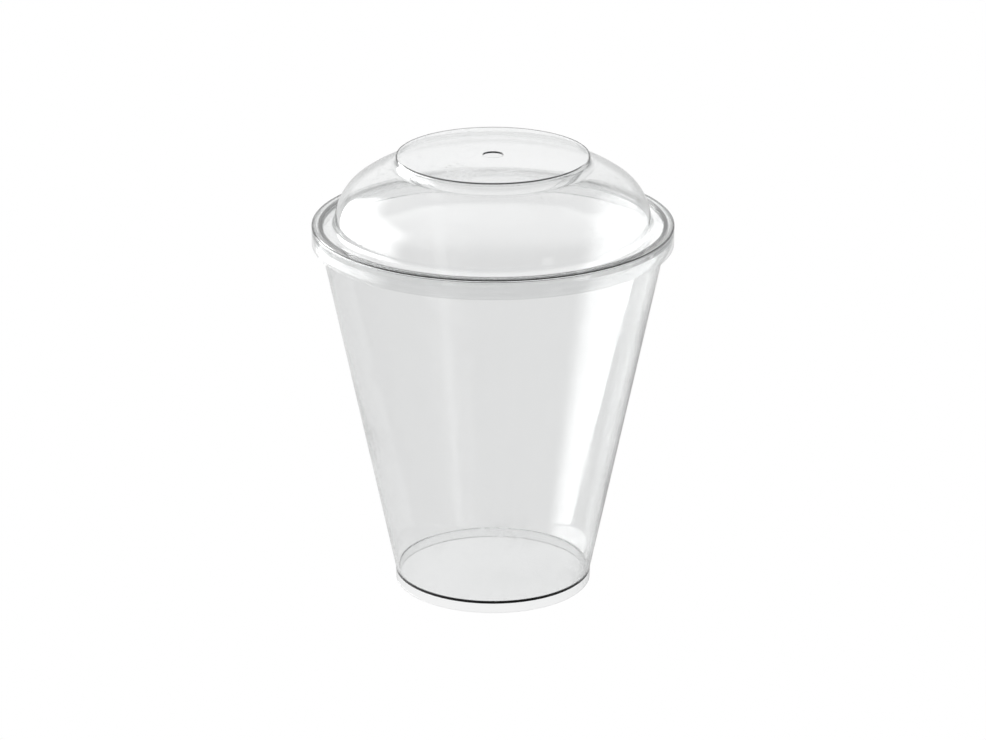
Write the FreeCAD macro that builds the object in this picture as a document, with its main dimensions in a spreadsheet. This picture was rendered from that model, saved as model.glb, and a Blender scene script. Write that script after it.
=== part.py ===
"""Clear plastic cup with a snap-on dome lid.

Two thin moulded shells share one upright axis. The cup is a straight taper on a short foot skirt,
with its floor raised inside the foot and a small flange round its mouth. The lid's raised crest is a
channel that covers that flange and rests on it. Outside, the crest turns down into the skirt. Inside,
it drops to a ledge just within the mouth, from which a dome rises to a low flat-topped collar with a
round hole. The origin is the middle of the foot.

The mouth sets the flange, and the flange with its clearance sets the lid. The collar sets the foot,
because a stacked cup stands round the collar of the lid below.
"""
import FreeCAD, Part
import math
import os
import Sketcher

SHEET = "sizes"
SIZES = {
    "cup_height": 102.9,
    "mouth_radius": 47.65,
    "cup_wall": 0.8,
    "floor_thickness": 0.8,
    "floor_round": 0.3,
    "rim_reach": 0.35,
    "rim_thickness": 1.0,
    "rim_round": 0.3,
    "lip_round": 0.25,
    "foot_wall": 0.6,
    "foot_flare": 0.1,
    "foot_round": 0.25,
    "stack_gap": 0.2,
    "stack_headroom": 0.25,
    "seat_gap": 0.1,
    "lid_wall": 0.5,
    "skirt_gap": 0.5,
    "skirt_tail": 2.8,
    "skirt_round": 0.2,
    "plug_gap": 0.22,
    "plug_round": 0.25,
    "crest_height": 0.8,
    "crest_round": 0.35,
    "channel_round": 0.35,
    "ledge_width": 3.2,
    "ledge_round": 0.25,
    "dome_foot_round": 1.6,
    "dome_wall_height": 1.9,
    "dome_lean": 0.134,
    "shoulder_radius": 13.8,
    "shoulder_reach": 5.8,
    "crown_radius": 34.2,
    "collar_radius": 26.2,
    "collar_height": 2.45,
    "collar_round": 0.5,
    "collar_foot_round": 2.1,
    "hole_radius": 2.75,
    "snap_gap": 0.2,
    "snap_drop": 0.2,
    "snap_land": 0.3,
}
LEVEL_AXIS_INDEX = -1
UPRIGHT_AXIS_INDEX = -2
ORIGIN_INDEX = -1
START, END = 1, 2
SAME_PLACE = 0.005


class Size:
    """A length that knows both its value and its formula in terms of the sheet's cells."""

    def __init__(self, value, text):
        self.value = value
        self.text = text

    @staticmethod
    def of(other):
        return other if isinstance(other, Size) else Size(float(other), repr(float(other)))

    def join(self, other, sign, value):
        return Size(value, f"({self.text} {sign} {other.text})")

    def __add__(self, other):
        other = Size.of(other)
        return self.join(other, "+", self.value + other.value)

    def __sub__(self, other):
        other = Size.of(other)
        return self.join(other, "-", self.value - other.value)

    def __rsub__(self, other):
        return Size.of(other) - self

    def __mul__(self, other):
        other = Size.of(other)
        return self.join(other, "*", self.value * other.value)

    def __truediv__(self, other):
        other = Size.of(other)
        return self.join(other, "/", self.value / other.value)

    def __neg__(self):
        return 0 - self

    def root(self):
        return Size(math.sqrt(self.value), f"sqrt({self.text})")


class Arc:
    """A round stretch of an outline that bulges up and out, given by its middle and its radius."""

    def __init__(self, middle, radius):
        self.middle = middle
        self.radius = radius

    def point(self, across):
        """The arc's point at a distance from the object's axis."""
        reach = across - self.middle[0]
        return across, self.middle[1] + (self.radius * self.radius - reach * reach).root()

    def onward(self, across, radius):
        """The arc of another radius that leaves this one smoothly at a distance from the axis."""
        share = radius / self.radius
        point = self.point(across)
        middle = [place - (place - centre) * share for place, centre in zip(point, self.middle)]
        return Arc(middle, radius)

    def inward(self, wall):
        """The arc one wall's thickness inside this one."""
        return Arc(self.middle, self.radius - wall)

    def angle(self, place):
        return math.atan2(place[1] - self.middle[1].value, place[0] - self.middle[0].value)


def make_sheet(doc):
    """Puts each driving size in a cell that has its name, and gives the sizes by name."""
    sheet = doc.addObject("Spreadsheet::Sheet", SHEET)
    for row, (name, value) in enumerate(SIZES.items(), start=1):
        sheet.set(f"A{row}", name)
        sheet.set(f"B{row}", str(value))
        sheet.setAlias(f"B{row}", name)
    doc.recompute()
    return {name: Size(value, f"<<{SHEET}>>.{name}") for name, value in SIZES.items()}


class CupPlan:
    """Where the cup's walls run, worked out from the sizes. Heights count from the foot."""

    def __init__(self, s):
        self.recess_radius = s["collar_radius"] + s["stack_gap"]
        self.floor_under = s["collar_height"] + s["stack_headroom"]
        self.floor = self.floor_under + s["floor_thickness"]
        self.foot_radius = self.recess_radius + s["foot_wall"]
        self.base_radius = self.foot_radius + s["foot_flare"]
        self.taper = (s["mouth_radius"] - self.base_radius) / (s["cup_height"] - self.floor)
        level_wall = s["cup_wall"] * (self.taper * self.taper + 1).root()
        self.floor_radius = self.base_radius - level_wall
        self.mouth_inside = s["mouth_radius"] - level_wall
        self.rim_radius = s["mouth_radius"] + s["rim_reach"]
        self.rim_under = s["cup_height"] - s["rim_thickness"]
        self.wall_at_rim = s["mouth_radius"] - self.taper * s["rim_thickness"]


class LidPlan:
    """Where the lid's walls run, worked out from the sizes.

    Heights count from the lid's seat, which is the top of the channel that covers the cup's rim.
    """

    def __init__(self, s, cup):
        wall = s["lid_wall"]
        self.skirt_inside = cup.rim_radius + s["skirt_gap"]
        self.skirt_outside = self.skirt_inside + wall
        self.snap_tip = cup.rim_radius + s["snap_gap"]
        self.snap_reach = self.skirt_inside - self.snap_tip
        self.snap_top = -s["seat_gap"] - s["rim_thickness"] - s["snap_drop"]
        self.snap_bottom = self.snap_top - self.snap_reach * 2 - s["snap_land"]
        self.skirt_bottom = self.snap_bottom - s["skirt_tail"]
        self.crest = wall
        self.ledge = self.crest - s["crest_height"]
        self.channel_inside = cup.mouth_inside - s["plug_gap"]
        self.crest_inside = self.channel_inside - wall
        self.dome_foot = self.crest_inside - s["ledge_width"]

        rise, lean = s["dome_wall_height"], s["dome_lean"]
        side = (rise * rise + lean * lean).root()
        across, up = rise / side, lean / side
        self.dome_top = (self.dome_foot - lean, self.ledge + rise)
        self.dome_top_inside = (self.dome_top[0] - wall * across, self.dome_top[1] - wall * up)
        self.foot_inside = self.dome_foot + wall * lean / rise - wall / across

        reach = s["shoulder_radius"]
        self.shoulder = Arc([self.dome_top[0] - reach * across, self.dome_top[1] - reach * up], reach)
        self.shoulder_end = self.shoulder.point(self.dome_foot - s["shoulder_reach"])
        self.crown = self.shoulder.onward(self.shoulder_end[0], s["crown_radius"])
        self.crown_end = self.crown.point(s["collar_radius"])
        self.crown_end_inside = self.crown.inward(wall).point(s["collar_radius"] - wall)
        self.top = self.crown_end[1] + s["collar_height"]
        share = (reach - wall) / reach
        self.shoulder_end_inside = self.shoulder.middle[0] + (
            self.shoulder_end[0] - self.shoulder.middle[0]
        ) * share


class Profile:
    """A closed outline in a body's upright plane: x is the radius and y the height."""

    def __init__(self, body, name):
        self.sketch = body.newObject("Sketcher::SketchObject", name)
        plane = [item for item in body.Origin.OriginFeatures if item.Role == "XZ_Plane"][0]
        self.sketch.AttachmentSupport = [(plane, "")]
        self.sketch.MapMode = "FlatFace"
        self.first = None
        self.last = None
        self.at = None

    def limit(self, kind, *items):
        """Adds a constraint. A Size as its last item is bound to the sheet."""
        size = items[-1]
        if not isinstance(size, Size):
            return self.sketch.addConstraint(Sketcher.Constraint(kind, *items))
        index = self.sketch.addConstraint(Sketcher.Constraint(kind, *items[:-1], size.value))
        self.sketch.setExpression(f"Constraints[{index}]", size.text)
        return index

    def place(self, edge, end, radius, height=None):
        """Sets the radius and, where given, the height of one end of an edge."""
        sides = (("DistanceX", UPRIGHT_AXIS_INDEX, radius), ("DistanceY", LEVEL_AXIS_INDEX, height))
        for kind, axis, size in sides:
            if size is None:
                continue
            if Size.of(size).value == 0:
                self.limit("PointOnObject", edge, end, axis)
            else:
                self.limit(kind, ORIGIN_INDEX, START, edge, end, size)

    def start(self, radius, height):
        self.first = (Size.of(radius), Size.of(height))
        self.at = (self.first[0].value, self.first[1].value)

    def line_to(self, radius, height, placed=True):
        """Adds a straight edge. Its end is placed unless the outline closes there."""
        end = (Size.of(radius).value, Size.of(height).value)
        corners = [FreeCAD.Vector(x, y, 0) for x, y in (self.at, end)]
        edge = self.sketch.addGeometry(Part.LineSegment(*corners))
        if self.last is None:
            self.place(edge, START, *self.first)
        else:
            self.limit("Coincident", self.last, END, edge, START)
        if placed:
            self.place(edge, END, radius, height)
        self.last, self.at = edge, end
        return edge

    def arc_to(self, radius, arc):
        """Adds an arc that leaves the last edge smoothly and ends at a radius."""
        end = [place.value for place in arc.point(radius)]
        middle = FreeCAD.Vector(arc.middle[0].value, arc.middle[1].value, 0)
        circle = Part.Circle(middle, FreeCAD.Vector(0, 0, 1), arc.radius.value)
        edge = self.sketch.addGeometry(Part.ArcOfCircle(circle, arc.angle(self.at), arc.angle(end)))
        self.limit("Tangent", self.last, END, edge, START)
        self.limit("Radius", edge, arc.radius)
        self.place(edge, END, radius)
        self.last, self.at = edge, end

    def rise_to(self, height):
        """Adds an upright edge from wherever the last edge ended."""
        edge = self.line_to(self.at[0], height, placed=False)
        self.limit("Vertical", edge)
        self.place(edge, END, None, height)

    def close(self):
        """Ends the outline at its first point."""
        edge = self.line_to(*self.first, placed=False)
        self.limit("Coincident", edge, END, 0, START)


def turned(body, kind, name, profile):
    """Turns a profile about the upright axis, to add or to cut."""
    body.Document.recompute()
    feature = body.newObject(f"PartDesign::{kind}", name)
    feature.Profile = profile.sketch
    feature.ReferenceAxis = (profile.sketch, ["V_Axis"])
    feature.Angle = 360.0
    body.Tip = feature
    body.Document.recompute()


def ring_edges(shape, radius, height):
    """Names of the full circles with this radius at this height, above the body's own origin."""
    found = []
    for index, edge in enumerate(shape.Edges, start=1):
        curve = edge.Curve
        if not isinstance(curve, Part.Circle):
            continue
        off = (abs(curve.Radius - radius.value), abs(curve.Center.z - height.value))
        if max(off) < SAME_PLACE:
            found.append(f"Edge{index}")
    return found


def rounded(body, name, rings, size):
    """Rounds the circular corners given as (radius, height) pairs."""
    base = body.Tip
    edges = [edge for ring in rings for edge in ring_edges(base.Shape, *ring)]
    if len(edges) != len(rings):
        raise RuntimeError(f"{name} found {len(edges)} of {len(rings)} corners")
    feature = body.newObject("PartDesign::Fillet", name)
    feature.Base = (base, edges)
    feature.setExpression("Radius", size.text)
    body.Tip = feature
    body.Document.recompute()


def make_cup(doc, s, plan):
    """The cup: taper, mouth flange, and a foot whose recess takes another lid's collar."""
    body = doc.addObject("PartDesign::Body", "cup")
    body.Label = "cup"
    form = Profile(body, "cup_outline")
    form.start(0, 0)
    form.line_to(plan.foot_radius, 0)
    form.line_to(plan.base_radius, plan.floor)
    form.line_to(plan.wall_at_rim, plan.rim_under)
    form.line_to(plan.rim_radius, plan.rim_under)
    form.line_to(plan.rim_radius, s["cup_height"])
    form.line_to(0, s["cup_height"])
    form.close()
    turned(body, "Revolution", "cup_form", form)

    hollow = Profile(body, "inside_outline")
    hollow.start(0, plan.floor)
    hollow.line_to(plan.floor_radius, plan.floor)
    hollow.line_to(plan.mouth_inside, s["cup_height"])
    hollow.line_to(0, s["cup_height"])
    hollow.close()
    turned(body, "Groove", "inside", hollow)

    recess = Profile(body, "recess_outline")
    recess.start(0, 0)
    recess.line_to(plan.recess_radius, 0)
    recess.line_to(plan.recess_radius, plan.floor_under)
    recess.line_to(0, plan.floor_under)
    recess.close()
    turned(body, "Groove", "foot_recess", recess)

    rim = [(plan.rim_radius, s["cup_height"]), (plan.rim_radius, plan.rim_under)]
    rounded(body, "rim_rounding", rim, s["rim_round"])
    rounded(body, "lip_rounding", [(plan.mouth_inside, s["cup_height"])], s["lip_round"])
    rounded(body, "floor_rounding", [(plan.floor_radius, plan.floor)], s["floor_round"])
    rounded(body, "foot_rounding", [(plan.foot_radius, Size.of(0))], s["foot_round"])
    return body


def lid_outline(body, s, plan):
    """The lid's outer form, from the skirt's lower edge up over the crest, ledge, dome and collar."""
    form = Profile(body, "lid_outline")
    form.start(0, plan.skirt_bottom)
    form.line_to(plan.skirt_outside, plan.skirt_bottom)
    form.line_to(plan.skirt_outside, plan.crest)
    form.line_to(plan.crest_inside, plan.crest)
    form.line_to(plan.crest_inside, plan.ledge)
    form.line_to(plan.dome_foot, plan.ledge)
    form.line_to(*plan.dome_top)
    form.arc_to(plan.shoulder_end[0], plan.shoulder)
    form.arc_to(s["collar_radius"], plan.crown)
    form.rise_to(plan.top)
    form.line_to(0, plan.top)
    form.close()
    return form


def lid_inside_outline(body, s, plan):
    """The lid's inner form, one wall's thickness inside the outer form all the way."""
    wall = s["lid_wall"]
    form = Profile(body, "lid_inside_outline")
    form.start(0, plan.skirt_bottom)
    form.line_to(plan.skirt_inside, plan.skirt_bottom)
    form.line_to(plan.skirt_inside, 0)
    form.line_to(plan.channel_inside, 0)
    form.line_to(plan.channel_inside, plan.ledge - wall)
    form.line_to(plan.foot_inside, plan.ledge - wall)
    form.line_to(*plan.dome_top_inside)
    form.arc_to(plan.shoulder_end_inside, plan.shoulder.inward(wall))
    form.arc_to(s["collar_radius"] - wall, plan.crown.inward(wall))
    form.rise_to(plan.top - wall)
    form.line_to(0, plan.top - wall)
    form.close()
    return form


def snap_outline(body, s, plan):
    """The ridge inside the skirt that passes under the cup's flange, just clear of it."""
    root = plan.skirt_inside + s["lid_wall"] / 2
    ridge = Profile(body, "snap_outline")
    ridge.start(plan.skirt_inside, plan.snap_top)
    ridge.line_to(plan.snap_tip, plan.snap_top - plan.snap_reach)
    ridge.line_to(plan.snap_tip, plan.snap_bottom + plan.snap_reach)
    ridge.line_to(plan.skirt_inside, plan.snap_bottom)
    ridge.line_to(root, plan.snap_bottom)
    ridge.line_to(root, plan.snap_top)
    ridge.close()
    return ridge


def hole_outline(body, s, plan):
    """The round hole through the collar's flat top."""
    above = plan.top + s["lid_wall"]
    below = plan.top - s["lid_wall"] * 2
    hole = Profile(body, "hole_outline")
    hole.start(0, below)
    hole.line_to(s["hole_radius"], below)
    hole.line_to(s["hole_radius"], above)
    hole.line_to(0, above)
    hole.close()
    return hole


def make_lid(doc, s, plan):
    """The lid: skirt, crest, ledge, dome and collar in one wall, with a hole and a snap ridge."""
    body = doc.addObject("PartDesign::Body", "lid")
    body.Label = "lid"
    body.setExpression("Placement.Base.z", (s["cup_height"] + s["seat_gap"]).text)
    turned(body, "Revolution", "lid_form", lid_outline(body, s, plan))
    turned(body, "Groove", "lid_inside", lid_inside_outline(body, s, plan))
    turned(body, "Revolution", "snap_ridge", snap_outline(body, s, plan))
    turned(body, "Groove", "hole", hole_outline(body, s, plan))

    crest = [(plan.skirt_outside, plan.crest), (plan.crest_inside, plan.crest)]
    rounded(body, "crest_rounding", crest, s["crest_round"])
    channel = [(plan.skirt_inside, Size.of(0)), (plan.channel_inside, Size.of(0))]
    rounded(body, "channel_rounding", channel, s["channel_round"])
    plug = [(plan.channel_inside, plan.ledge - s["lid_wall"])]
    rounded(body, "plug_rounding", plug, s["plug_round"])
    rounded(body, "ledge_rounding", [(plan.crest_inside, plan.ledge)], s["ledge_round"])
    skirt = [(plan.skirt_outside, plan.skirt_bottom)]
    rounded(body, "skirt_rounding", skirt, s["skirt_round"])
    dome_foot = [(plan.dome_foot, plan.ledge)]
    rounded(body, "dome_foot_rounding", dome_foot, s["dome_foot_round"])
    inside = [(plan.foot_inside, plan.ledge - s["lid_wall"])]
    rounded(body, "dome_foot_inside_rounding", inside, s["dome_foot_round"] + s["lid_wall"])
    collar = [(s["collar_radius"], plan.top)]
    rounded(body, "collar_rounding", collar, s["collar_round"])
    rounded(body, "collar_foot_rounding", [plan.crown_end], s["collar_foot_round"])
    inside = [plan.crown_end_inside]
    rounded(body, "collar_foot_inside_rounding", inside, s["collar_foot_round"])
    return body


def check(doc, bodies):
    """Stops where an object failed or a body has no single sound solid."""
    for item in doc.Objects:
        if "Invalid" in item.State or "Error" in item.State:
            raise RuntimeError(f"{item.Name} failed: {item.State}")
    for body in bodies:
        shape = body.Shape
        if shape.isNull() or not shape.isValid() or len(shape.Solids) != 1:
            raise RuntimeError(f"{body.Label} has no single valid solid")


def main():
    doc = FreeCAD.newDocument("cup_with_lid")
    sizes = make_sheet(doc)
    cup_plan = CupPlan(sizes)
    bodies = [make_cup(doc, sizes, cup_plan), make_lid(doc, sizes, LidPlan(sizes, cup_plan))]
    doc.recompute()
    check(doc, bodies)
    os.makedirs("parts", exist_ok=True)
    for body in bodies:
        body.Shape.exportStep(f"parts/{body.Label}.step")
        print(f"{body.Label}: {body.Shape.Volume:.1f} mm3 of plastic")


main()
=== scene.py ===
"""Looks of a clear plastic cup with a snap-on dome lid, standing on a white sweep.

Both pieces are thin moulded shells turned about one upright axis. Each is a closed wall of real
thickness, so that light bends and loses itself in it as it does in the plastic. Lengths in the
classes are millimetres, as on a mould drawing, and are turned into metres where a mesh is made.
"""
import logging
import math
from dataclasses import dataclass, field, replace
from enum import Enum
from typing import Any, Optional, Union

import bpy
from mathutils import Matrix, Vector


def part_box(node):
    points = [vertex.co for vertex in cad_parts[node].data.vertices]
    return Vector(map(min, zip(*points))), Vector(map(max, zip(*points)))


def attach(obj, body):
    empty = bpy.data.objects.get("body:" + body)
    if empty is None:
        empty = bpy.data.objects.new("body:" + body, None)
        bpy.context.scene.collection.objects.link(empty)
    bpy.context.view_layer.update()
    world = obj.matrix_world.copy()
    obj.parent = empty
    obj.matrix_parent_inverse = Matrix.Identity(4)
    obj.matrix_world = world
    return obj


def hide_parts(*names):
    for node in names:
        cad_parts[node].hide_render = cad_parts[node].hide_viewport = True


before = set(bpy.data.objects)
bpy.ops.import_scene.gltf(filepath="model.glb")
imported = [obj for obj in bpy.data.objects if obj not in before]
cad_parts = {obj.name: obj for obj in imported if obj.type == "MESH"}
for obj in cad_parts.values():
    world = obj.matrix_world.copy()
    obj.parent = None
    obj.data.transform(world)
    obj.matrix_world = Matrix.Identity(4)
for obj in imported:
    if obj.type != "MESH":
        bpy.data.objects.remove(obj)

LOG = logging.getLogger("cup_with_lid")
MM = 0.001
Place = tuple[float, float]


class Body(Enum):
    """The two bodies of the object: what stands, and what lifts off."""

    CUP = "cup"
    LID = "lid"


@dataclass
class Box:
    """A solid's box in millimetres, for a shape that is turned about the upright axis."""

    reach: float
    low: float
    high: float

    @classmethod
    def of(cls, body: Body) -> "Box":
        """Reads a solid's box from the frame.

        Args:
            body: The solid to measure.

        Returns:
            Its reach from the axis, and its lowest and highest level.
        """
        low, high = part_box(body.value)
        return cls(high.x / MM, low.z / MM, high.z / MM)


class Wire:
    """A shader socket that takes part in arithmetic. Each operator adds a Math node."""

    def __init__(self, graph: "Graph", socket: Optional[bpy.types.NodeSocket]) -> None:
        """Keeps the socket and the graph that it belongs to."""
        self.graph = graph
        self.socket = socket

    def _math(self, operation: str, left: Any, right: Any) -> "Wire":
        """Adds one Math node and gives its result."""
        return self.graph.add("Math", {"operation": operation}, {0: left, 1: right})

    def __add__(self, other: Any) -> "Wire":
        """Sum."""
        return self._math("ADD", self, other)

    def __radd__(self, other: Any) -> "Wire":
        """Sum with the wire on the right."""
        return self._math("ADD", other, self)

    def __sub__(self, other: Any) -> "Wire":
        """Difference."""
        return self._math("SUBTRACT", self, other)

    def __rsub__(self, other: Any) -> "Wire":
        """Difference with the wire on the right."""
        return self._math("SUBTRACT", other, self)

    def __mul__(self, other: Any) -> "Wire":
        """Product."""
        return self._math("MULTIPLY", self, other)

    def __rmul__(self, other: Any) -> "Wire":
        """Product with the wire on the right."""
        return self._math("MULTIPLY", other, self)

    def __pow__(self, other: Any) -> "Wire":
        """Power."""
        return self._math("POWER", self, other)


class Graph:
    """A node tree under construction."""

    def __init__(self, tree: bpy.types.NodeTree) -> None:
        """Empties the tree."""
        self.tree = tree
        tree.nodes.clear()

    def add(
        self,
        kind: str,
        settings: Optional[dict[str, Any]] = None,
        inputs: Optional[dict[Union[int, str], Any]] = None,
        output: Union[int, str] = 0,
    ) -> Wire:
        """Adds a node, sets it up and joins its inputs.

        Args:
            kind: The node's type without its ShaderNode prefix.
            settings: Its own settings. "stops" holds a colour ramp's (place, value) pairs.
            inputs: Values or wires by socket name or number.
            output: The socket to give back.

        Returns:
            The chosen output as a wire.
        """
        node = self.tree.nodes.new(f"ShaderNode{kind}")
        for name, value in (settings or {}).items():
            if name == "stops":
                self._ramp(node, value)
            else:
                setattr(node, name, value)
        for name, value in (inputs or {}).items():
            if isinstance(value, Wire):
                self.tree.links.new(value.socket, node.inputs[name])
            else:
                node.inputs[name].default_value = value
        outputs = node.outputs
        return Wire(self, outputs[output] if len(outputs) else None)

    def noise(self, place: Wire, grain: float, detail: float) -> Wire:
        """Adds a noise with so many grains to the metre."""
        return self.add("TexNoise", {}, {"Vector": place, "Scale": grain, "Detail": detail})

    def blend(self, share: Wire, first: Any, second: Any) -> Wire:
        """Mixes two colours by a share."""
        inputs = {"Factor": share, 6: first, 7: second}
        return self.add("Mix", {"data_type": "RGBA"}, inputs, output=2)

    def vector(self, operation: str, inputs: dict[int, Any], output: Union[int, str] = 0) -> Wire:
        """Adds one Vector Math node and gives its result."""
        return self.add("VectorMath", {"operation": operation}, inputs, output)

    def step(self, value: Wire, none: float, full: float) -> Wire:
        """Adds a smooth step.

        Args:
            value: What the step depends on.
            none: Where it is 0.
            full: Where it is 1.

        Returns:
            The step as a wire.
        """
        inputs = {"Value": value, "From Min": none, "From Max": full, "To Min": 0.0, "To Max": 1.0}
        return self.add("MapRange", {"interpolation_type": "SMOOTHSTEP"}, inputs)

    @staticmethod
    def _ramp(node: bpy.types.Node, stops: list[Place]) -> None:
        """Sets a colour ramp's grey stops.

        Args:
            node: The colour ramp's node.
            stops: Its (place, value) pairs.
        """
        ramp = node.color_ramp
        while len(ramp.elements) < len(stops):
            ramp.elements.new(1.0)
        for element, (place, value) in zip(ramp.elements, stops):
            element.position = place
            element.color = (value, value, value, 1.0)


@dataclass(frozen=True)
class PaintedEdgeShade:
    """A band round the axis, in millimetres, of painted shade: black painted into the base colour
    where an edge of the clear plastic looks dark.

    A piece gives a band's place as a step from one of its own corners.
    """

    radius: float
    level: float
    reach: float
    fade: float
    share: float

    def at(self, radius: float, level: float) -> "PaintedEdgeShade":
        """The same band, stepped off from a corner."""
        return replace(self, radius=radius + self.radius, level=level + self.level)

    def mask(self, graph: Graph, place: Wire) -> Wire:
        """Draws the band.

        Args:
            graph: The material's graph.
            place: Object coordinates in metres.

        Returns:
            A wire that is the band's share on it and fades to 0 beside it.
        """
        flat = graph.vector("MULTIPLY", {0: place, 1: (1.0, 1.0, 0.0)})
        radius = graph.vector("LENGTH", {0: flat}, output="Value")
        level = graph.add("SeparateXYZ", {}, {0: place}, output="Z")
        aside, above = radius - self.radius * MM, level - self.level * MM
        off = graph.add("CombineXYZ", {}, {0: aside, 1: above})
        away = graph.vector("LENGTH", {0: off}, output="Value")
        return graph.step(away, (self.reach + self.fade) * MM, self.reach * MM) * self.share


@dataclass(frozen=True)
class ClearPlastic:
    """Crystal-clear moulded plastic with faint flow streaks, haze and fine scuffs.

    Density is what the depth of the plastic takes from light, per metre. Grains count per metre.
    Swells set how much each noise lifts the surface, and ripple turns that into metres.
    """

    name: str
    density: float
    depth_tint: tuple[float, float, float] = (0.0, 0.04, 0.04)
    tint: tuple[float, float, float] = (0.99, 0.99, 0.99)
    index: float = 1.55
    gloss: float = 0.01
    haze: float = 0.03
    scuff: float = 0.12
    ripple: float = 4e-6
    streak_grain: float = 420.0
    streak_pull: float = 0.08
    streak_shade: float = 0.985
    streak_swell: float = 0.5
    cloud_grain: float = 55.0
    cloud_swell: float = 3.0
    scuff_grain: float = 900.0
    scuff_gain: float = 2.0
    scuff_span: Place = (0.66, 0.74)
    broad_detail: float = 2.0
    fine_detail: float = 3.0

    def material(self, edges: tuple[PaintedEdgeShade, ...]) -> bpy.types.Material:
        """Builds the finish.

        Args:
            edges: The bands of painted shade, black in the base colour along the piece's edge
                lines.

        Returns:
            A material on Object coordinates.
        """
        material = bpy.data.materials.new(self.name)
        material.use_nodes = True
        graph = Graph(material.node_tree)
        place = graph.add("TexCoord", output="Object")
        upright = graph.add("Mapping", {}, {"Vector": place, "Scale": (1.0, 1.0, self.streak_pull)})
        streaks = graph.noise(upright, self.streak_grain, self.broad_detail)
        clouds = graph.noise(place, self.cloud_grain, self.broad_detail)
        surface = {
            "Base Color": self._colour(graph, place, streaks, edges),
            "Roughness": self._roughness(graph, place, clouds),
            "IOR": self.index,
            "Transmission Weight": 1.0,
            "Normal": self._relief(graph, streaks, clouds),
        }
        shader = graph.add("BsdfPrincipled", {}, surface)
        inside = {"Color": (*self.depth_tint, 1.0), "Density": self.density}
        depth = graph.add("VolumeAbsorption", {}, inside)
        graph.add("OutputMaterial", {}, {"Surface": shader, "Volume": depth})
        return material

    def _colour(
        self, graph: Graph, place: Wire, streaks: Wire, edges: tuple[PaintedEdgeShade, ...]
    ) -> Wire:
        """Shades the flow streaks and paints the bands of black painted shade over them.

        Args:
            graph: The material's graph.
            place: Object coordinates in metres.
            streaks: The flow streaks.
            edges: The bands of painted shade.

        Returns:
            The surface's colour.
        """
        shade = [channel * self.streak_shade for channel in self.tint]
        colour = graph.blend(streaks, (*self.tint, 1.0), (*shade, 1.0))
        # Painted shade: each band blends the colour toward black where an edge of the plastic looks
        # dark.
        for ring in edges:
            colour = graph.blend(ring.mask(graph, place), colour, (0.0, 0.0, 0.0, 1.0))
        return colour

    def _roughness(self, graph: Graph, place: Wire, clouds: Wire) -> Wire:
        """Dulls the gloss with haze and fine scuffs.

        Args:
            graph: The material's graph.
            place: Object coordinates in metres.
            clouds: The broad unevenness.

        Returns:
            The surface's roughness.
        """
        fine = graph.noise(place, self.scuff_grain, self.fine_detail)
        start, full = self.scuff_span
        spread = {"stops": [(start, 0.0), (full, 1.0)]}
        marks = graph.add("ValToRGB", spread, {"Fac": fine * clouds * self.scuff_gain})
        return self.gloss + clouds * self.haze + marks * self.scuff

    def _relief(self, graph: Graph, streaks: Wire, clouds: Wire) -> Wire:
        """Gives the moulded surface its slight unevenness.

        Args:
            graph: The material's graph.
            streaks: The flow streaks.
            clouds: The broad unevenness.

        Returns:
            The bumped normal.
        """
        height = clouds * self.cloud_swell + streaks * self.streak_swell
        return graph.add("Bump", {}, {"Strength": 1.0, "Distance": self.ripple, "Height": height})


@dataclass
class Outline:
    """A closed outline of one wall, in a plane through the axis, as (radius, level) stations."""

    stations: list[Place] = field(default_factory=list)
    corner_steps: int = 6
    hold: float = 0.04

    def to(self, radius: float, level: float) -> "Outline":
        """Runs straight to a place.

        Args:
            radius: Distance from the axis.
            level: Height.

        Returns:
            The outline itself, so that runs can follow each other.
        """
        self.stations.append((radius, level))
        return self

    def kink(self, radius: float, level: float, toward: Place) -> "Outline":
        """Runs through a shallow corner, with a station close by on each side of it.

        Args:
            radius: The corner's distance from the axis.
            level: The corner's height.
            toward: A place on the run that leaves the corner.

        Returns:
            The outline itself.
        """
        before, tip = Vector(self.stations[-1]), Vector((radius, level))
        self.to(*(tip + (before - tip).normalized() * self.hold)).to(radius, level)
        return self.to(*(tip + (Vector(toward) - tip).normalized() * self.hold))

    def arc(self, middle: Place, radius: float, start: float, end: float, steps: int) -> "Outline":
        """Follows a round stretch.

        Args:
            middle: The arc's middle.
            radius: Its radius.
            start: Its first angle in degrees, from level outward, turning up.
            end: Its last angle.
            steps: How many chords stand for it.

        Returns:
            The outline itself.
        """
        for step in range(steps + 1):
            turn = math.radians(start + (end - start) * step / steps)
            self.to(middle[0] + radius * math.cos(turn), middle[1] + radius * math.sin(turn))
        return self

    def corner(self, radius: float, level: float, size: float, toward: Place) -> "Outline":
        """Runs to a corner and rounds it.

        Args:
            radius: The sharp corner's distance from the axis.
            level: The sharp corner's height.
            size: The round's radius.
            toward: A place on the run that leaves the corner.

        Returns:
            The outline itself.
        """
        tip = Vector((radius, level))
        back = (Vector(self.stations[-1]) - tip).normalized()
        ahead = (Vector(toward) - tip).normalized()
        half = back.angle(ahead) / 2
        reach = size / math.tan(half)
        middle = tip + (back + ahead).normalized() * (size / math.sin(half))
        first = tip + back * reach
        last = tip + ahead * reach
        start = first - middle
        sweep = start.angle_signed(last - middle)
        self.to(*(first + back * self.hold))
        for step in range(self.corner_steps + 1):
            turn = -sweep * step / self.corner_steps
            cosine, sine = math.cos(turn), math.sin(turn)
            offset = Vector((start.x * cosine - start.y * sine, start.x * sine + start.y * cosine))
            self.to(*(middle + offset))
        return self.to(*(last + ahead * self.hold))


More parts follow.
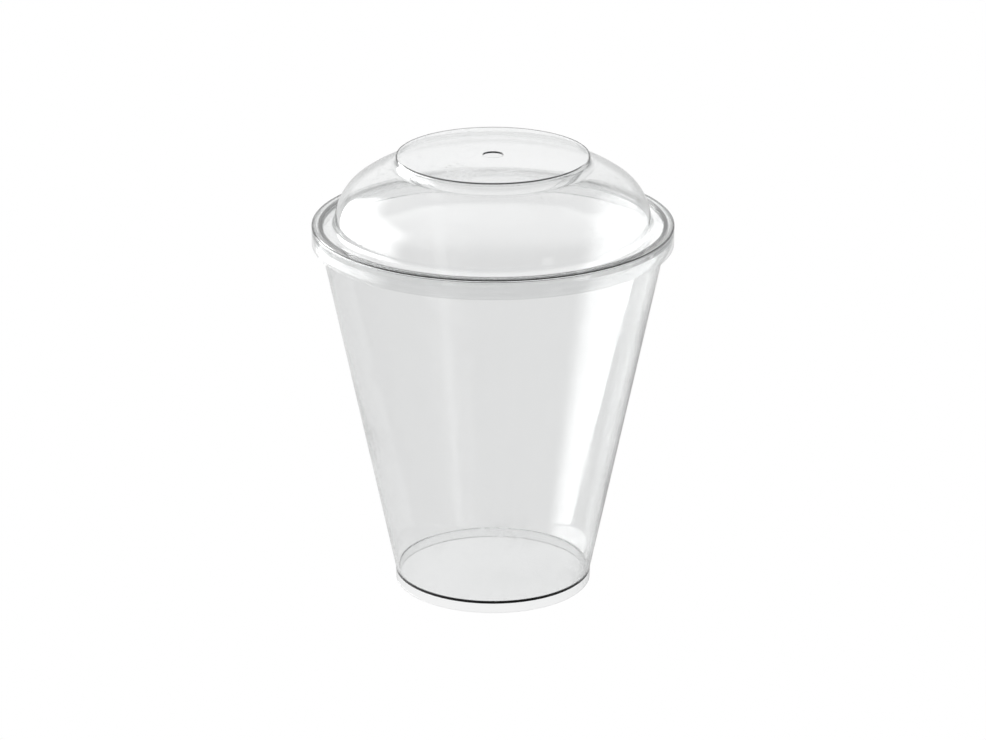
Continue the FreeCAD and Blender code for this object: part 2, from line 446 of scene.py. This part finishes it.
@dataclass
class Turning:
    """Turns an outline into a closed shell about the upright axis."""

    name: str
    outline: Outline
    segments: int = 256
    merge: float = 1e-3
    sharp: float = 32.0

    def build(self) -> bpy.types.Object:
        """Models the shell ring by ring, as on a lathe.

        Returns:
            The finished piece, at the origin.
        """
        piece = self._first_ring()
        bpy.ops.object.mode_set(mode="EDIT")
        bpy.ops.mesh.select_mode(type="EDGE")
        stations = self.outline.stations
        for start, end in zip(stations, stations[1:]):
            self._next_ring(start, end)
        self._close()
        bpy.ops.object.mode_set(mode="OBJECT")
        bpy.ops.object.shade_smooth_by_angle(angle=math.radians(self.sharp))
        return piece

    def _first_ring(self) -> bpy.types.Object:
        """Lays the first ring of edges, at the outline's first station.

        Returns:
            The piece that has only this ring.
        """
        bpy.ops.object.select_all(action="DESELECT")
        radius, level = self.outline.stations[0]
        bpy.ops.mesh.primitive_circle_add(
            vertices=self.segments,
            radius=radius * MM,
            location=(0, 0, level * MM),
            fill_type="NOTHING",
        )
        piece = bpy.context.object
        piece.name = self.name
        piece.data.name = self.name
        bpy.ops.object.transform_apply(location=True, rotation=True, scale=True)
        return piece

    @staticmethod
    def _next_ring(start: Place, end: Place) -> None:
        """Draws the selected ring out to the next station.

        Args:
            start: The station that it is on.
            end: The station that it goes to.
        """
        rise = (0.0, 0.0, (end[1] - start[1]) * MM)
        bpy.ops.mesh.extrude_edges_move(TRANSFORM_OT_translate={"value": rise})
        share = end[0] / start[0]
        centre = (0.0, 0.0, end[1] * MM)
        bpy.ops.transform.resize(value=(share, share, 1.0), center_override=centre)

    def _close(self) -> None:
        """Merges the rings, fills what is open at the axis and turns the faces outward."""
        bpy.ops.mesh.select_all(action="SELECT")
        bpy.ops.mesh.remove_doubles(threshold=self.merge * MM)
        bpy.ops.mesh.select_all(action="DESELECT")
        bpy.ops.mesh.select_mode(type="VERT")
        bpy.ops.mesh.select_non_manifold()
        bpy.ops.mesh.fill_holes(sides=0)
        bpy.ops.mesh.select_all(action="SELECT")
        bpy.ops.mesh.normals_make_consistent(inside=False)


@dataclass
class Piece:
    """A moulded shell that stands for one solid of the frame."""

    body: Body
    finish: ClearPlastic
    slot: str

    def outline(self) -> Outline:
        """The wall's closed outline."""
        raise NotImplementedError

    def edges(self) -> tuple[PaintedEdgeShade, ...]:
        """The bands of painted shade, black in the base colour along its edge lines."""
        return ()

    def build(self) -> bpy.types.Object:
        """Turns the outline and dresses the shell.

        Returns:
            The finished piece, riding on its body.
        """
        shell = Turning(f"{self.body.value}_shell", self.outline()).build()
        shell.data.materials.append(self.finish.material(self.edges()))
        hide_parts(self.body.value)
        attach(shell, self.body.value)
        LOG.info("%s: %d faces", shell.name, len(shell.data.polygons))
        return shell


@dataclass
class Cup(Piece):
    """The cup: a straight taper from a short foot to a flanged mouth."""

    body: Body = Body.CUP
    finish: ClearPlastic = ClearPlastic("clear_cup_plastic", 110.0)
    slot: str = "cup_plastic"
    box: Box = field(default_factory=lambda: Box.of(Body.CUP))
    wall: float = 0.8
    floor_thickness: float = 0.8
    floor_level: float = 3.5
    floor_round: float = 0.3
    recess_radius: float = 26.4
    recess_round: float = 0.1
    recess_flat: float = 0.97
    foot_wall: float = 0.6
    foot_flare: float = 0.1
    foot_round: float = 0.25
    rim_reach: float = 0.35
    rim_thickness: float = 1.0
    rim_round: float = 0.3
    lip_round: float = 0.25
    pole: float = 0.5

    def foot(self) -> float:
        """The outer wall's radius at the foot."""
        return self.recess_radius + self.foot_wall

    def base(self) -> float:
        """The outer wall's radius at the floor."""
        return self.foot() + self.foot_flare

    def mouth(self) -> float:
        """The outer wall's radius at the mouth."""
        return self.box.reach - self.rim_reach

    def taper(self) -> float:
        """How far the wall leans out for each step up."""
        return (self.mouth() - self.base()) / (self.box.high - self.floor_level)

    def level_wall(self) -> float:
        """The leaning wall's thickness, measured level."""
        return self.wall * math.hypot(1.0, self.taper())

    def outline(self) -> Outline:
        """Goes out under the floor, up the outside, over the rim and down the inside.

        Returns:
            The wall's closed outline.
        """
        top, rim, mouth, base = self.box.high, self.box.reach, self.mouth(), self.base()
        under = self.floor_level - self.floor_thickness
        lip = top - self.rim_thickness
        lip_inside, base_inside = mouth - self.level_wall(), base - self.level_wall()
        shape = Outline()
        shape.to(self.pole, under).to(self.recess_radius * self.recess_flat, under)
        shape.corner(self.recess_radius, under, self.recess_round, (self.recess_radius, 0.0))
        shape.to(self.recess_radius, 0.0)
        shape.corner(self.foot(), 0.0, self.foot_round, (base, self.floor_level))
        shape.kink(base, self.floor_level, (mouth, top))
        shape.kink(mouth - self.taper() * self.rim_thickness, lip, (rim, lip))
        shape.corner(rim, lip, self.rim_round, (rim, top))
        shape.corner(rim, top, self.rim_round, (lip_inside, top))
        shape.corner(lip_inside, top, self.lip_round, (base_inside, self.floor_level))
        shape.corner(base_inside, self.floor_level, self.floor_round, (0.0, self.floor_level))
        return shape.to(self.pole, self.floor_level)


@dataclass
class DomePlan:
    """Where the dome's outer side lies: its upright foot wall, its shoulder and its crown.

    Angles are in degrees, from level outward, turning up.
    """

    wall_top: Place
    lean: Place
    shoulder: Place
    crown: Place
    begin: float
    bend: float


@dataclass
class Lid(Piece):
    """The lid: skirt, crest, ledge, dome and flat collar, with a hole in the middle."""

    body: Body = Body.LID
    finish: ClearPlastic = ClearPlastic("clear_lid_plastic", 185.0)
    slot: str = "lid_plastic"
    box: Box = field(default_factory=lambda: Box.of(Body.LID))
    cup: Cup = field(default_factory=Cup)
    wall: float = 0.5
    seat_gap: float = 0.1
    skirt_round: float = 0.2
    snap_gap: float = 0.2
    snap_drop: float = 0.2
    snap_land: float = 0.3
    snap_run: float = 0.9
    plug_gap: float = 0.22
    plug_round: float = 0.25
    crest_height: float = 0.8
    crest_round: float = 0.35
    channel_round: float = 0.35
    ledge_width: float = 3.2
    ledge_round: float = 0.25
    dome_foot_round: float = 1.6
    dome_wall_height: float = 1.9
    dome_lean: float = 0.134
    shoulder_radius: float = 13.8
    shoulder_reach: float = 5.8
    shoulder_steps: int = 24
    crown_radius: float = 34.2
    crown_steps: int = 12
    collar_radius: float = 26.2
    collar_round: float = 0.5
    collar_round_inside: float = 0.1
    collar_foot_round: float = 2.1
    collar_foot_steps: int = 10
    hole_radius: float = 2.75
    hole_round: float = 0.08
    # Bands of painted shade: black painted into the base colour along the crest's outer and inner
    # edge and round the collar.
    crest_outer_painted_shade: PaintedEdgeShade = PaintedEdgeShade(-0.07, -0.12, 0.2, 0.06, 1.0)
    crest_inner_painted_shade: PaintedEdgeShade = PaintedEdgeShade(0.487, 0.0, 0.48, 0.12, 0.82)
    collar_painted_shade: PaintedEdgeShade = PaintedEdgeShade(-0.1, -0.093, 0.1, 0.06, 0.75)

    def seat(self) -> float:
        """The level of the channel's underside, over the cup's rim."""
        return self.cup.box.high + self.seat_gap

    def crest(self) -> float:
        """The crest's level."""
        return self.seat() + self.wall

    def ledge(self) -> float:
        """The ledge's level."""
        return self.crest() - self.crest_height

    def channel(self) -> float:
        """The radius of the wall that plugs the cup's mouth."""
        return self.cup.mouth() - self.cup.level_wall() - self.plug_gap

    def crest_inside(self) -> float:
        """The radius of the crest's inner side."""
        return self.channel() - self.wall

    def foot(self) -> float:
        """The radius of the dome's foot, measured sharp."""
        return self.crest_inside() - self.ledge_width

    def edges(self) -> tuple[PaintedEdgeShade, ...]:
        """The painted shade lines along the crest's outer and inner edge and round the collar.

        Returns:
            The three bands, each in its place.
        """
        return (
            self.crest_outer_painted_shade.at(self.box.reach, self.crest()),
            self.crest_inner_painted_shade.at(self.crest_inside(), self.crest()),
            self.collar_painted_shade.at(self.collar_radius, self.box.high),
        )

    def dome(self) -> DomePlan:
        """Works out the dome from its foot up.

        Returns:
            The plan of its outer side.
        """
        side = math.hypot(self.dome_wall_height, self.dome_lean)
        across, up = self.dome_wall_height / side, self.dome_lean / side
        wall_top = (self.foot() - self.dome_lean, self.ledge() + self.dome_wall_height)
        radius, gap = self.shoulder_radius, self.crown_radius - self.shoulder_radius
        shoulder = (wall_top[0] - radius * across, wall_top[1] - radius * up)
        turn = math.acos((self.foot() - self.shoulder_reach - shoulder[0]) / radius)
        crown = (shoulder[0] - gap * math.cos(turn), shoulder[1] - gap * math.sin(turn))
        begin = math.degrees(math.atan2(up, across))
        return DomePlan(wall_top, (across, up), shoulder, crown, begin, math.degrees(turn))

    def outline(self) -> Outline:
        """Goes up the outside from the skirt's edge to the hole, and back down the inside.

        Returns:
            The wall's closed outline.
        """
        shape = Outline().to(self.box.reach - self.wall, self.box.low)
        self.outside(shape, self.dome())
        self.inside(shape, self.dome())
        self.snap(shape)
        return shape.to(self.box.reach - self.wall, self.box.low)

    def outside(self, shape: Outline, dome: DomePlan) -> None:
        """Follows the outside from the skirt's edge to the hole.

        Args:
            shape: The outline to carry on.
            dome: The dome's plan.
        """
        skirt, top = self.box.reach, self.box.high
        crest, ledge = self.crest(), self.ledge()
        crest_inside, foot = self.crest_inside(), self.foot()
        shape.corner(skirt, self.box.low, self.skirt_round, (skirt, crest))
        shape.corner(skirt, crest, self.crest_round, (crest_inside, crest))
        shape.corner(crest_inside, crest, self.crest_round, (crest_inside, ledge))
        shape.corner(crest_inside, ledge, self.ledge_round, (foot, ledge))
        shape.corner(foot, ledge, self.dome_foot_round, dome.wall_top)
        shape.arc(dome.shoulder, self.shoulder_radius, dome.begin, dome.bend, self.shoulder_steps)
        self.collar_foot(shape, dome, self.crown_radius, self.collar_radius)
        shape.corner(self.collar_radius, top, self.collar_round, (0.0, top))
        shape.corner(self.hole_radius, top, self.hole_round, (self.hole_radius, top - self.wall))

    def inside(self, shape: Outline, dome: DomePlan) -> None:
        """Follows the inside from the hole to the skirt.

        Args:
            shape: The outline to carry on.
            dome: The dome's plan.
        """
        wall, channel, seat, skirt = self.wall, self.channel(), self.seat(), self.box.reach
        top, under = self.box.high - wall, self.ledge() - wall
        collar, shoulder = self.collar_radius - wall, self.shoulder_radius - wall
        across, up = dome.lean
        foot = self.foot() + wall * up / across - wall / across
        shape.corner(self.hole_radius, top, self.hole_round, (self.collar_radius, top))
        climb = Outline()
        self.collar_foot(climb, dome, self.crown_radius - wall, collar)
        shape.corner(collar, top, self.collar_round_inside, climb.stations[-1])
        shape.stations.extend(reversed(climb.stations))
        shape.arc(dome.shoulder, shoulder, dome.bend, dome.begin, self.shoulder_steps)
        shape.corner(foot, under, self.dome_foot_round + wall, (channel, under))
        shape.corner(channel, under, self.plug_round, (channel, seat))
        shape.corner(channel, seat, self.channel_round, (skirt, seat))
        shape.corner(skirt - wall, seat, self.channel_round, (skirt - wall, self.box.low))

    def collar_foot(self, shape: Outline, dome: DomePlan, radius: float, collar: float) -> None:
        """Follows the crown inward and blends it into the collar's upright wall.

        Args:
            shape: The outline to carry on.
            dome: The dome's plan.
            radius: The crown arc's radius on this side of the wall.
            collar: The upright wall's distance from the axis.
        """
        blend = self.collar_foot_round
        across = collar + blend - dome.crown[0]
        rise = math.sqrt((radius + blend) ** 2 - across**2)
        finish = math.degrees(math.atan2(rise, across))
        middle = (collar + blend, dome.crown[1] + rise)
        shape.arc(dome.crown, radius, dome.bend, finish, self.crown_steps)
        shape.arc(middle, blend, finish + 180.0, 180.0, self.collar_foot_steps)

    def snap(self, shape: Outline) -> None:
        """Runs down the skirt's inside over the ridge that passes under the cup's flange.

        Args:
            shape: The outline to carry on.
        """
        root = self.box.reach - self.wall
        tip = self.cup.box.reach + self.snap_gap
        reach = root - tip
        top = self.cup.box.high - self.cup.rim_thickness - self.snap_drop
        low = top - reach - self.snap_land
        shape.to(root, top + self.snap_run - reach).to(tip, top - reach)
        shape.to(tip, low).to(root, low - self.snap_run)


class Compass(Enum):
    """How the two directions of a light panel are counted, in degrees."""

    FRONT = "from the camera's side round to its right, and up"
    BACK = "from straight behind round to the camera's right, and up"
    OVER = "out to the camera's right, and from the camera's side up over the top"


@dataclass(frozen=True)
class Softbox:
    """A light panel round the object, by the directions that it fills.

    Fades are how far it thins out to the left, to the right, at its foot and at its head. A panel
    that is only mirrored shows in the gloss, but not where the plastic is looked straight through.
    """

    compass: Compass
    across: Place
    up: Place
    fade: tuple[float, float, float, float]
    glow: float
    mirrored: bool = False

    def mask(self, graph: Graph, across: Wire, up: Wire) -> Wire:
        """Draws the panel.

        Args:
            graph: The world's graph.
            across: The direction's first angle in radians.
            up: Its second angle.

        Returns:
            A wire that is 1 on the panel and fades to 0 round it.
        """
        left, right, foot, head = self.fade
        sides = (
            (across, self.across[0], -left),
            (across, self.across[1], right),
            (up, self.up[0], -foot),
            (up, self.up[1], head),
        )
        mask: Any = 1.0
        for way, edge, out in sides:
            mask = graph.step(way, math.radians(edge + out), math.radians(edge)) * mask
        return mask


@dataclass
class Room:
    """What the gloss sees: a room that is lighter behind and above, with light panels.

    Dark and light are its extremes, and lean and turn say where it is lightest, in degrees. The
    wall stands low down behind whatever is looked through. It is whole up to the first of
    wall_levels and gone at the second.
    """

    dark: float = 0.2
    light: float = 1.0
    lean: float = 35.0
    turn: float = -30.0
    curve: float = 1.2
    wall: float = 0.95
    wall_levels: Place = (12.0, 35.0)
    boxes: tuple[Softbox, ...] = (
        Softbox(Compass.BACK, (-60.0, 60.0), (12.0, 45.0), (30.0, 30.0, 8.0, 20.0), 0.35),
        Softbox(Compass.OVER, (-55.0, 55.0), (68.0, 112.0), (25.0, 25.0, 62.0, 8.0), 1.1),
        Softbox(Compass.FRONT, (-142.0, -90.0), (-16.0, 20.0), (4.0, 26.0, 4.0, 24.0), 5.0, True),
        Softbox(Compass.FRONT, (37.0, 41.0), (-12.0, 2.0), (4.0, 4.0, 4.0, 8.0), 0.7, True),
    )

    def build(self) -> bpy.types.World:
        """Paints the room on the directions round the object.

        Returns:
            The world.
        """
        world = bpy.data.worlds.new("room")
        world.use_nodes = True
        graph = Graph(world.node_tree)
        way = graph.add("TexCoord", output="Generated")
        angles = self._angles(graph, way)
        bounces = graph.add("LightPath", output="Glossy Depth")
        mirrored = graph.add("Math", {"operation": "MINIMUM"}, {0: bounces, 1: 1.0})
        glow = self._air(graph, way)
        for box in self.boxes:
            panel = box.mask(graph, *angles[box.compass]) * box.glow
            glow = glow + (panel * mirrored if box.mirrored else panel)
        full, none = self.wall_levels
        level = angles[Compass.FRONT][1]
        low = graph.step(level, math.radians(none), math.radians(full))
        glow = glow + (self.wall - glow) * low * (1.0 - mirrored)
        shader = graph.add("Background", {}, {"Color": (1, 1, 1, 1), "Strength": glow})
        graph.add("OutputWorld", {}, {"Surface": shader})
        return world

    def _air(self, graph: Graph, way: Wire) -> Wire:
        """The room's even shade, from its dark side to its light one.

        Args:
            graph: The world's graph.
            way: The direction looked in.

        Returns:
            The glow without any panel.
        """
        lean, aside = math.radians(self.lean), math.radians(self.turn)
        flat = math.cos(lean)
        lightest = (math.sin(aside) * flat, math.cos(aside) * flat, math.sin(lean))
        facing = graph.vector("DOT_PRODUCT", {0: way, 1: lightest}, output="Value")
        share = (facing * 0.5 + 0.5) ** self.curve
        return share * (self.light - self.dark) + self.dark

    @staticmethod
    def _angles(graph: Graph, way: Wire) -> dict[Compass, tuple[Wire, Wire]]:
        """Turns a direction into each compass's two angles.

        Args:
            graph: The world's graph.
            way: The direction looked in.

        Returns:
            The two angles in radians, by compass.
        """
        across, depth, height = (
            graph.add("SeparateXYZ", {}, {0: way}, output=axis) for axis in "XYZ"
        )
        toward = depth * -1.0
        level = graph.add("Math", {"operation": "ARCSINE"}, {0: height})
        sideways = graph.add("Math", {"operation": "ARCSINE"}, {0: across})

        def turn(rise: Wire, run: Wire) -> Wire:
            """The angle of a slope."""
            return graph.add("Math", {"operation": "ARCTAN2"}, {0: rise, 1: run})

        return {
            Compass.FRONT: (turn(across, toward), level),
            Compass.BACK: (turn(across, depth), level),
            Compass.OVER: (sideways, turn(height, toward)),
        }


@dataclass
class Studio:
    """A white sweep, the room's light and the camera. Lengths are metres, and angles degrees."""

    eye: tuple[float, float, float] = (0.0, -0.9909, 0.4252)
    tilt: float = 20.19
    lens: float = 140.68
    sensor: float = 36.0
    sweep_radius: float = 4.0
    sunk: float = 1.2
    sunk_radius: float = 9.0
    sweep_sides: int = 96
    hem: float = 0.125
    white: float = 1.0
    lamp_place: tuple[float, float, float] = (0.0, 0.3, 2.2)
    lamp_size: float = 1.2
    lamp_watts: float = 0.4
    bounces: int = 32
    mirror_bounces: int = 12

    def build(self) -> None:
        """Sets up the sweep, the room, a top light and the camera.

        The camera sees the sweep that the cup stands on. The plastic looks through at a lower one,
        so that what it bends and mirrors comes from far off, as in a large studio.
        """
        seen = self.sweep("sweep", 0.0, self.sweep_radius)
        seen.visible_glossy = False
        seen.visible_transmission = False
        through = self.sweep("sweep_through_plastic", -self.sunk, self.sunk_radius)
        through.visible_glossy = False
        through.visible_camera = False
        bpy.context.scene.world = Room().build()
        self.top_light()
        self.camera()
        self.paths()

    def sweep(self, name: str, level: float, radius: float) -> bpy.types.Object:
        """A flat white sheet that glows evenly, as overlit paper does.

        Args:
            name: Its name.
            level: Its height.
            radius: Its radius.

        Returns:
            The sheet.
        """
        bpy.ops.object.select_all(action="DESELECT")
        bpy.ops.mesh.primitive_circle_add(
            vertices=self.sweep_sides, radius=radius, location=(0, 0, level), fill_type="NGON"
        )
        sheet = bpy.context.object
        sheet.name = name
        bpy.ops.object.transform_apply(location=True, rotation=True, scale=True)
        bpy.ops.object.mode_set(mode="EDIT")
        bpy.ops.mesh.select_all(action="SELECT")
        bpy.ops.mesh.inset(thickness=radius * self.hem)
        bpy.ops.object.mode_set(mode="OBJECT")
        sheet.data.materials.append(self.paper(name))
        return sheet

    def paper(self, name: str) -> bpy.types.Material:
        """The sheet's even white.

        Args:
            name: The sheet's name.

        Returns:
            A material that glows.
        """
        material = bpy.data.materials.new(name)
        material.use_nodes = True
        graph = Graph(material.node_tree)
        shader = graph.add("Emission", {}, {"Color": (1, 1, 1, 1), "Strength": self.white})
        graph.add("OutputMaterial", {}, {"Surface": shader})
        return material

    def top_light(self) -> None:
        """A wide soft light overhead."""
        data = bpy.data.lights.new("top_light", "AREA")
        data.shape = "DISK"
        data.size = self.lamp_size
        data.energy = self.lamp_watts
        light = bpy.data.objects.new("top_light", data)
        light.location = self.lamp_place
        light.visible_camera = False
        bpy.context.scene.collection.objects.link(light)

    def camera(self) -> None:
        """Stands the camera where the photograph was taken from."""
        data = bpy.data.cameras.new("camera")
        data.lens = self.lens
        data.sensor_width = self.sensor
        camera = bpy.data.objects.new("camera", data)
        camera.location = self.eye
        camera.rotation_euler = (math.radians(90.0 - self.tilt), 0.0, 0.0)
        bpy.context.scene.collection.objects.link(camera)
        bpy.context.scene.camera = camera

    def paths(self) -> None:
        """Lets light pass all the walls that stand behind each other."""
        scene = bpy.context.scene
        scene.view_settings.view_transform = "Standard"
        scene.cycles.max_bounces = self.bounces
        scene.cycles.transmission_bounces = self.bounces
        scene.cycles.glossy_bounces = self.mirror_bounces


def main() -> None:
    """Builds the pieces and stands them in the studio."""
    logging.basicConfig(level=logging.INFO, format="%(message)s")
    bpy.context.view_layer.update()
    for piece in (Cup(), Lid()):
        piece.build()
    Studio().build()


if __name__ == "__main__":
    main()
